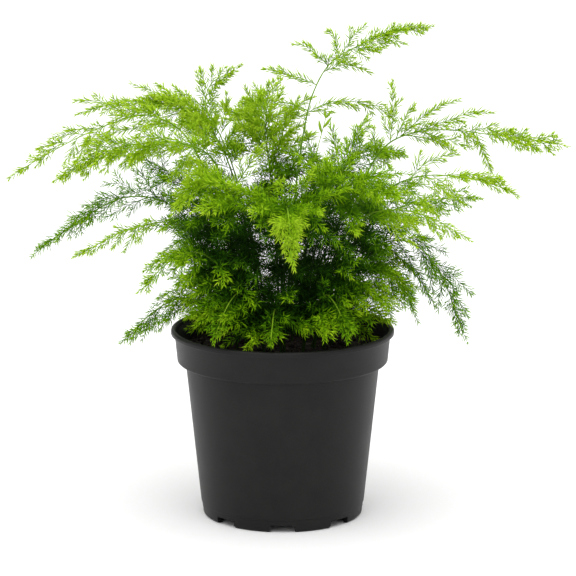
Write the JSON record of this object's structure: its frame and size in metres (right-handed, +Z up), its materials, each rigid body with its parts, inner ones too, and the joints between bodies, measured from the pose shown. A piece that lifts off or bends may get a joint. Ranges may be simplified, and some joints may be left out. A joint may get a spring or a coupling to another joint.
{
  "type": "potted asparagus fern",
  "caption": "Potted asparagus fern: arching feathery green sprays on wiry stems, rooted in dark soil in a tapered round nursery pot with a deep collar and a slotted foot.",
  "frame": {"origin": "middle of the pot's foot, on the surface that the pot stands on", "axes": "+Z up along the pot's axis, +X along the plant's widest spread, +Y to the back; the side seen in the reference view faces -Y"},
  "size_m": [0.2967, 0.2137, 0.2676],
  "materials": {
    "pot_plastic": "satin moulded plastic with a fine grain",
    "soil": "moist crumbly potting soil",
    "stem": "smooth green stem",
    "foliage_lime": "young lime needles",
    "foliage_green": "mid green needles",
    "foliage_dark": "older dark green needles"
  },
  "bodies": {
    "root": {"pot": "pot_plastic", "stem_left_long": "stem", "foliage_left_long": "foliage_lime", "stem_left_front": "stem", "foliage_left_front": "foliage_lime", "stem_left_back_high": "stem", "foliage_left_back_high": "foliage_lime", "stem_back_left_high": "stem", "foliage_back_left_high": "foliage_lime", "stem_back_high": "stem", "foliage_back_high": "foliage_lime", "stem_tall": "stem", "foliage_tall": "foliage_lime", "stem_right_long": "stem", "foliage_right_long": "foliage_lime", "stem_right_front": "stem", "foliage_right_front": "foliage_green", "stem_right_back": "stem", "foliage_right_back": "foliage_green", "stem_right_front_low": "stem", "foliage_right_front_low": "foliage_green", "stem_right_drooping": "stem", "foliage_right_drooping": "foliage_dark", "stem_right_back_low": "stem", "foliage_right_back_low": "foliage_dark", "stem_left_back": "stem", "foliage_left_back": "foliage_dark", "stem_back_left": "stem", "foliage_back_left": "foliage_dark", "stem_left_front_mid": "stem", "foliage_left_front_mid": "foliage_green", "stem_front_left_mid": "stem", "foliage_front_left_mid": "foliage_green", "stem_left_drooping": "stem", "foliage_left_drooping": "foliage_dark", "stem_front_centre": "stem", "foliage_front_centre": "foliage_lime", "stem_front_left": "stem", "foliage_front_left": "foliage_lime", "stem_front_right": "stem", "foliage_front_right": "foliage_green", "stem_front_low_left": "stem", "foliage_front_low_left": "foliage_green", "stem_front_low": "stem", "foliage_front_low": "foliage_dark", "stem_front_low_right": "stem", "foliage_front_low_right": "foliage_green", "stem_back_right_high": "stem", "foliage_back_right_high": "foliage_green", "stem_back_right": "stem", "foliage_back_right": "foliage_green", "stem_back_centre": "stem", "foliage_back_centre": "foliage_dark", "stem_back_low_left": "stem", "foliage_back_low_left": "foliage_dark", "stem_back_low_right": "stem", "foliage_back_low_right": "foliage_dark", "stem_shoot_spear": "stem", "stem_shoot_new": "stem", "soil": "soil"}
  },
  "joints": []
}
